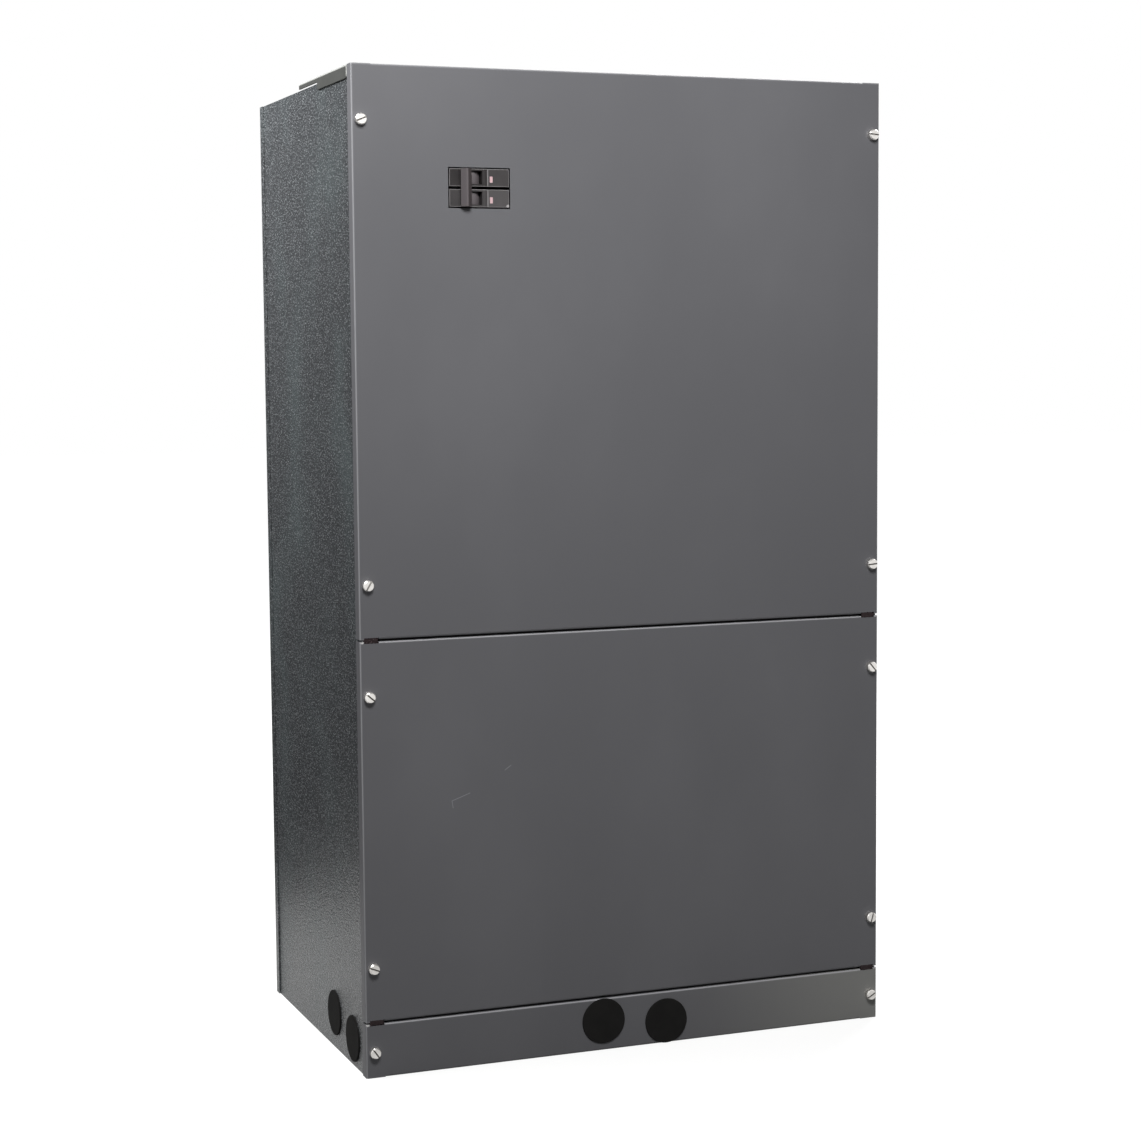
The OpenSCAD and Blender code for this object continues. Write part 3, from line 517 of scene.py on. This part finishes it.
# Panel screws: nickel-plated cheese heads with a slot, driven through the panels into the side flanges.
# Each was turned home by hand, so the slots stand at different angles; they are painted dark as shade.
HEAD_WIDTH = 0.0102
HEAD_HEIGHT = 0.0058
HEAD_SIDES = 40
WALL_SHARE = 0.78
CROWN_SHARE = 0.84
SLOT_WIDTH = 0.0014
SLOT_DEPTH = 0.0016
SCREW_INSET = 0.008
UPPER_SCREW_DROP = 0.049
UPPER_SCREW_RISE = 0.049
LOWER_SCREW_INSET = 0.05
BASE_SCREW_HEIGHT = 0.024
SLOT_ANGLES = (22, -5, 60, 5, -40, -50, -22, 75, -55, 30)
NICKEL_PALE = (250, 248, 245)
NICKEL_DULL = (196, 192, 187)
SLOT_SHADE = (46, 43, 40)

nickel, tree, shader, place = new_finish("bright nickel plate")
grain, smudge = add_marks(tree, place, grains=2600.0, smudges=160.0)
colour(tree, shader, shade(tree, smudge, NICKEL_DULL, NICKEL_PALE))
roughen(tree, shader, grain, least=0.18, spread=0.2)
shader.inputs["Metallic"].default_value = 0.95
emboss(tree, shader, grain, depth=0.00003)

# Painted shade in the slots: the slot faces get this dark finish.
slot_shade_finish, tree, shader, place = new_finish("shaded slot")
grain, smudge = add_marks(tree, place, grains=2600.0, smudges=200.0)
colour(tree, shader, shade(tree, smudge, SLOT_SHADE, NICKEL_DULL))
roughen(tree, shader, grain, least=0.6, spread=0.2)
emboss(tree, shader, grain, depth=0.00005)

# Each point carries its slot's angle, and Tilt turns the heads out of the sheet.
slotted, given, screw_inputs = open_tree(
    "slotted screws",
    {
        "Head Width": "Float", "Head Height": "Float", "Slot Width": "Float", "Slot Depth": "Float",
        "Tilt": "Rotation", "Plate": "Material", "Slot Shade": "Material",
    },
)
radius = calc(slotted, "MULTIPLY", given["Head Width"], 0.5)
wall = calc(slotted, "MULTIPLY", given["Head Height"], WALL_SHARE)
crown = calc(slotted, "SUBTRACT", given["Head Height"], wall)
barrel = node(
    slotted,
    "GeometryNodeMeshCylinder",
    {"Vertices": HEAD_SIDES, "Radius": radius, "Depth": wall},
    fill_type="NGON",
).outputs
domed = node(
    slotted,
    "GeometryNodeExtrudeMesh",
    {"Mesh": barrel["Mesh"], "Selection": barrel["Top"], "Offset Scale": crown},
    mode="FACES",
).outputs
eased = node(
    slotted,
    "GeometryNodeScaleElements",
    {"Geometry": domed["Mesh"], "Selection": domed["Top"], "Scale": CROWN_SHARE},
).outputs[0]
seat = node(slotted, "ShaderNodeCombineXYZ", {"Z": calc(slotted, "MULTIPLY", wall, 0.5)}).outputs[0]
seated = node(slotted, "GeometryNodeTransform", {"Geometry": eased, "Translation": seat}).outputs[0]
saw_size = node(
    slotted,
    "ShaderNodeCombineXYZ",
    {
        "X": calc(slotted, "MULTIPLY", given["Head Width"], 1.2),
        "Y": given["Slot Width"],
        "Z": calc(slotted, "MULTIPLY", given["Slot Depth"], 2.0),
    },
).outputs[0]
saw = node(slotted, "GeometryNodeMeshCube", {"Size": saw_size}).outputs["Mesh"]
saw_place = node(slotted, "ShaderNodeCombineXYZ", {"Z": given["Head Height"]}).outputs[0]
raised = node(slotted, "GeometryNodeTransform", {"Geometry": saw, "Translation": saw_place}).outputs[0]
sawn = node(
    slotted,
    "GeometryNodeStoreNamedAttribute",
    {"Geometry": raised, "Name": "sawn", "Value": True},
    data_type="BOOLEAN",
    domain="FACE",
).outputs[0]
head = node(
    slotted, "GeometryNodeMeshBoolean", {"Mesh 1": seated, "Mesh 2": sawn}, operation="DIFFERENCE"
).outputs["Mesh"]
driven = node(
    slotted,
    "GeometryNodeInstanceOnPoints",
    {"Points": given["Geometry"], "Instance": head, "Rotation": given["Tilt"]},
).outputs[0]
angle = node(slotted, "GeometryNodeInputNamedAttribute", {"Name": "slot_angle"}, data_type="FLOAT").outputs[0]
turn = node(slotted, "ShaderNodeCombineXYZ", {"Z": angle}).outputs[0]
turned = node(
    slotted, "GeometryNodeRotateInstances", {"Instances": driven, "Rotation": turn, "Local Space": True}
).outputs[0]
real = node(slotted, "GeometryNodeRealizeInstances", {"Geometry": turned}).outputs[0]
plated = node(slotted, "GeometryNodeSetMaterial", {"Geometry": real, "Material": given["Plate"]}).outputs[0]
slots = node(slotted, "GeometryNodeInputNamedAttribute", {"Name": "sawn"}, data_type="BOOLEAN").outputs[0]
slot_shaded = node(
    slotted, "GeometryNodeSetMaterial", {"Geometry": plated, "Selection": slots, "Material": given["Slot Shade"]}
).outputs[0]
node(slotted, "NodeGroupOutput", {"Geometry": slot_shaded})

upper_low, upper_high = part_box("upper_front_panel")
lower_low, lower_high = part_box("lower_front_panel")
screw_x = upper_high.x - SCREW_INSET
heights = (
    upper_high.z - UPPER_SCREW_DROP,
    upper_low.z + UPPER_SCREW_RISE,
    lower_high.z - LOWER_SCREW_INSET,
    lower_low.z + LOWER_SCREW_INSET,
    BASE_SCREW_HEIGHT,
)
points = bpy.data.meshes.new("panel_screws")
points.from_pydata([(side * screw_x, upper_low.y, height) for height in heights for side in (-1, 1)], [], [])
slot_angle = points.attributes.new("slot_angle", "FLOAT", "POINT")
slot_angle.data.foreach_set("value", [math.radians(angle) for angle in SLOT_ANGLES])
screws = bpy.data.objects.new("panel_screws", points)
bpy.context.scene.collection.objects.link(screws)
screw_values = {
    "Head Width": HEAD_WIDTH, "Head Height": HEAD_HEIGHT, "Slot Width": SLOT_WIDTH, "Slot Depth": SLOT_DEPTH,
    "Tilt": (math.radians(90), 0.0, 0.0), "Plate": nickel, "Slot Shade": slot_shade_finish,
}
grow(screws, slotted, screw_inputs, screw_values)
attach(screws, "cabinet")


# Drain plugs: black closed-cell rubber, moulded with a flat head and a shank that is pressed in an outlet.
# The skin is dull and finely pitted.
RUBBER_BLACK = (22, 22, 22)
RUBBER_BLOOM = (36, 35, 34)

rubber, tree, shader, place = new_finish("matte plug rubber")
grain, smudge = add_marks(tree, place, grains=1500.0, smudges=60.0)
colour(tree, shader, shade(tree, smudge, RUBBER_BLACK, RUBBER_BLOOM))
roughen(tree, shader, grain, least=0.75, spread=0.2)
shader.inputs["Specular IOR Level"].default_value = 0.08
emboss(tree, shader, grain, depth=0.00015)
dress(rubber, "front_left_plug", "front_right_plug", "side_front_plug", "side_rear_plug")


# Breaker: two poles moulded in black phenolic, a toggle that ties their levers and a pale trip flag in each.
# The edges are slightly rounded with painted highlights on the front rims, the poles are paler right of their
# flags, the lower pole has a painted glint on a corner, and the toggle's left face and drums are painted
# lighter as lit.
PHENOLIC = (26, 24, 25)
PHENOLIC_SHEEN = (50, 47, 47)
PHENOLIC_HIGHLIGHT = (160, 157, 158)
HIGHLIGHT_RIM = 0.0007
RIM_HIGHLIGHT_SHARE = 0.5
POLE_FACES = 0.0022
FLAG_SLOT = 0.0362
FACE_STEP = 0.0005
POLE_PALE_ENDS = {"upper": (0.0, 0.07), "lower": (0.06, 0.14)}
CORNER_GLINT = 0.0016
CORNER_INSET = 0.001
CORNER_GLINT_STRENGTH = 3.0
TOGGLE = (40, 35, 36)
TOGGLE_SHEEN = (54, 48, 49)
TOGGLE_LIT = (92, 87, 89)
LEFT_FACE_LIGHT_SHARE = 0.9
GRIP_WIDTH = 0.0052
DRUM_BESIDE = 0.0096
DRUM_BEHIND = 0.0083
TOGGLE_STEP = 0.001
FLAG_PINK = (190, 146, 152)
FLAG_WHITE = (202, 184, 185)
MOULD_EDGE = 0.0003


def moulded_plastic(name, dark, pale, roughness, lightening=None, lighter=None):
    """A moulded finish with a slight sheen that varies over the face, painted lighter where lightening says.
    """
    finish, tree, shader, place = new_finish(name)
    grain, smudge = add_marks(tree, place, grains=2400.0, smudges=90.0)
    coat = shade(tree, smudge, dark, pale)
    if lightening:
        coat = shade(tree, lightening(tree, place, grain), coat, lighter)
    colour(tree, shader, coat)
    roughen(tree, shader, grain, roughness, spread=0.15)
    shader.inputs["Specular IOR Level"].default_value = 0.2
    emboss(tree, shader, grain, depth=0.00004)
    return finish


def pole_highlights(low, high, pale_ends, glinting):
    """Painted highlights on a pole's front rims and on the line beside its flag, a painted glint on a corner,
    and a paler tone on its two ends.
    """

    def lightening(tree, place, grain):
        axes = axes_of(tree, place)
        slot_x = low.x + FLAG_SLOT
        rims = (("X", low.x), ("X", high.x), ("Z", low.z), ("Z", high.z), ("X", slot_x))
        off = [calc(tree, "ABSOLUTE", calc(tree, "SUBTRACT", axes[axis], highlit_rim)) for axis, highlit_rim in rims]
        nearest = off[0]
        for other in off[1:]:
            nearest = calc(tree, "MINIMUM", nearest, other)
        # Painted highlights on the front rims and on the line beside the flag.
        uneven = calc(tree, "MULTIPLY_ADD", grain, HIGHLIGHT_RIM, nearest)
        rim_highlight = fade(tree, uneven, HIGHLIGHT_RIM, HIGHLIGHT_RIM * 1.6, low=RIM_HIGHLIGHT_SHARE, high=0.0)
        front = fade(tree, axes["Y"], low.y + POLE_FACES, low.y + POLE_FACES - FACE_STEP)
        # Paler right of the flag, and the lower pole a little paler all over.
        pale_end = fade(tree, axes["X"], slot_x, slot_x + FACE_STEP, *pale_ends)
        mask = calc(tree, "MAXIMUM", calc(tree, "MULTIPLY", rim_highlight, front), pale_end)
        # A painted glint on the lower pole's corner.
        if glinting:
            corner = (high.x - CORNER_INSET, low.y, low.z + CORNER_INSET)
            gap = vector_calc(tree, "DISTANCE", place, corner)["Value"]
            glint = fade(tree, gap, CORNER_GLINT, CORNER_GLINT * 1.2, low=CORNER_GLINT_STRENGTH, high=0.0)
            mask = calc(tree, "MAXIMUM", mask, glint)
        return mask

    return lightening


def lit_toggle(tree, place, grain):
    """Painted light on the toggle's left face, which the thumb pushes, and on its drums, which turn in the
    wells.
    """
    axes = axes_of(tree, place)
    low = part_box("breaker_handle")[0]
    grip, beside, behind = low.x + GRIP_WIDTH, low.x + DRUM_BESIDE, low.y + DRUM_BEHIND
    # Painted light on the left face and on the drums right of the grip.
    left_face_light = fade(tree, axes["X"], grip, grip + TOGGLE_STEP, low=LEFT_FACE_LIGHT_SHARE, high=0.0)
    right = fade(tree, axes["X"], beside, beside + TOGGLE_STEP)
    deep = fade(tree, axes["Y"], behind, behind + TOGGLE_STEP)
    return calc(tree, "MAXIMUM", left_face_light, calc(tree, "MULTIPLY", right, deep))


for level in ("upper", "lower"):
    part = "breaker_" + level + "_pole"
    lightening = pole_highlights(*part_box(part), POLE_PALE_ENDS[level], glinting=level == "lower")
    name = level + " pole phenolic"
    phenolic = moulded_plastic(name, PHENOLIC, PHENOLIC_SHEEN, 0.24, lightening, PHENOLIC_HIGHLIGHT)
    round_edges(level + "_pole", part, "cabinet", phenolic, MOULD_EDGE)
toggle = moulded_plastic("dark toggle plastic", TOGGLE, TOGGLE_SHEEN, 0.34, lit_toggle, TOGGLE_LIT)
round_edges("tied_toggle", "breaker_handle", "handle", toggle, MOULD_EDGE)
dress(moulded_plastic("pale flag plastic", FLAG_PINK, FLAG_WHITE, 0.3), "trip_flags")


# Camera: a short telephoto at the left of the cabinet, a little above its middle, as in the photograph.
# It looks slightly down, and leans by half a degree.
CAMERA_PLACE = Vector((-0.8519, -2.1920, 0.6516))
CAMERA_YAW = math.radians(21.356)
CAMERA_PITCH = math.radians(-5.087)
CAMERA_ROLL = math.radians(-0.466)
CAMERA_LENS = 74.4
CAMERA_SENSOR = 36.0

sight = Vector((
    math.sin(CAMERA_YAW) * math.cos(CAMERA_PITCH),
    math.cos(CAMERA_YAW) * math.cos(CAMERA_PITCH),
    math.sin(CAMERA_PITCH),
))
level = Vector((math.cos(CAMERA_YAW), -math.sin(CAMERA_YAW), 0.0))
upright = level.cross(sight)
camera_right = math.cos(CAMERA_ROLL) * level + math.sin(CAMERA_ROLL) * upright
camera_up = math.cos(CAMERA_ROLL) * upright - math.sin(CAMERA_ROLL) * level
camera_turn = Matrix((camera_right, camera_up, -sight)).transposed()
camera = bpy.data.objects.new("camera", bpy.data.cameras.new("camera"))
camera.data.lens = CAMERA_LENS
camera.data.sensor_width = CAMERA_SENSOR
camera.matrix_world = Matrix.Translation(CAMERA_PLACE) @ camera_turn.to_4x4()
bpy.context.scene.collection.objects.link(camera)
bpy.context.scene.camera = camera


# Studio: a pale floor that keeps the cabinet's shadow, a white surround, and soft boxes at the front, left
# and back. A dark card that only reflections see stands behind, so the glossy side shows the floor at its
# foot and dark above.
FLOOR_SIZE = 30.0
FLOOR_PALE = (140, 140, 139)
FLOOR_GLOW = 0.82
FLOOR_REFLECTED = 0.42
FLOOR_FAR = (0.9, 1.9)
FILL = 0.08
SOFT_BOXES = {
    "front_box": {
        "place": (-0.36, -1.33, 1.56), "aim": (-0.09, -0.1, 1.31),
        "width": 0.6, "height": 0.5, "watts": 31.0,
    },
    "left_box": {
        "place": (-0.9, 0.2, 1.5), "aim": (-0.2, 0.6, 1.25),
        "width": 0.8, "height": 0.8, "watts": 33.0,
    },
    "back_box": {
        "place": (1.5, 1.6, 1.9), "aim": (0.1, 0.1, 0.5),
        "width": 1.2, "height": 1.2, "watts": 60.0,
    },
}
CARD = ((-1.5, 0.55, 0.0), (-0.26, 0.55, 2.4))
CARD_DARK = (20, 21, 22)


def soft_box(name, place, aim, width, height, watts):
    """A rectangular lamp that the camera doesn't see."""
    lamp = bpy.data.lights.new(name, "AREA")
    lamp.shape = "RECTANGLE"
    lamp.size = width
    lamp.size_y = height
    lamp.energy = watts
    box = bpy.data.objects.new(name, lamp)
    box.location = place
    box.rotation_euler = (Vector(aim) - Vector(place)).to_track_quat("-Z", "Y").to_euler()
    box.visible_camera = False
    bpy.context.scene.collection.objects.link(box)


def stage_sheet(name, corners, finish):
    """A flat sheet of the studio, which isn't part of the object."""
    mesh = bpy.data.meshes.new(name)
    mesh.from_pydata(corners, [], [(0, 1, 2, 3)])
    mesh.materials.append(finish)
    sheet = bpy.data.objects.new(name, mesh)
    bpy.context.scene.collection.objects.link(sheet)
    return sheet


for name, settings in SOFT_BOXES.items():
    soft_box(name, **settings)

floor_finish, tree, shader, place = new_finish("pale floor")
tree.nodes.remove(shader)
rays = node(tree, "ShaderNodeLightPath").outputs
reflected = calc(tree, "MAXIMUM", rays["Is Glossy Ray"], rays["Is Transmission Ray"])
distance = node(tree, "ShaderNodeVectorMath", {0: place}, operation="LENGTH").outputs["Value"]
seen_glow = calc(tree, "MULTIPLY", rays["Is Camera Ray"], FLOOR_GLOW)
near_glow = calc(tree, "MULTIPLY_ADD", reflected, FLOOR_REFLECTED, seen_glow)
far_glow = calc(tree, "MAXIMUM", rays["Is Camera Ray"], reflected)
far = fade(tree, distance, *FLOOR_FAR)
glow = node(tree, "ShaderNodeMix", {0: far, 2: near_glow, 3: far_glow}).outputs[0]
matte = node(tree, "ShaderNodeBsdfDiffuse", {"Color": paint_chip(*FLOOR_PALE)}).outputs[0]
lit = node(tree, "ShaderNodeEmission", {"Strength": glow}).outputs[0]
both = node(tree, "ShaderNodeAddShader", {0: matte, 1: lit}).outputs[0]
tree.links.new(both, tree.nodes["Material Output"].inputs["Surface"])
half = FLOOR_SIZE / 2
stage_sheet("floor", [(-half, -half, 0), (half, -half, 0), (half, half, 0), (-half, half, 0)], floor_finish)

card_finish, tree, shader, place = new_finish("dark card")
shader.inputs["Base Color"].default_value = paint_chip(*CARD_DARK)
shader.inputs["Roughness"].default_value = 0.9
(left, back, foot), (right, _, top) = CARD
card_corners = [(left, back, foot), (right, back, foot), (right, back, top), (left, back, top)]
card = stage_sheet("dark_card", card_corners, card_finish)
for ray in ("camera", "diffuse", "transmission", "shadow"):
    setattr(card, "visible_" + ray, False)

world = bpy.data.worlds.new("white surround")
world.use_nodes = True
tree = world.node_tree
rays = node(tree, "ShaderNodeLightPath").outputs
seen = calc(tree, "MAXIMUM", rays["Is Camera Ray"], rays["Is Glossy Ray"])
seen = calc(tree, "MAXIMUM", seen, rays["Is Transmission Ray"])
tree.links.new(fade(tree, seen, 0.0, 1.0, low=FILL, high=1.0), tree.nodes["Background"].inputs["Strength"])
tree.nodes["Background"].inputs["Color"].default_value = (1.0, 1.0, 1.0, 1.0)
bpy.context.scene.world = world
bpy.context.scene.view_settings.view_transform = "Standard"
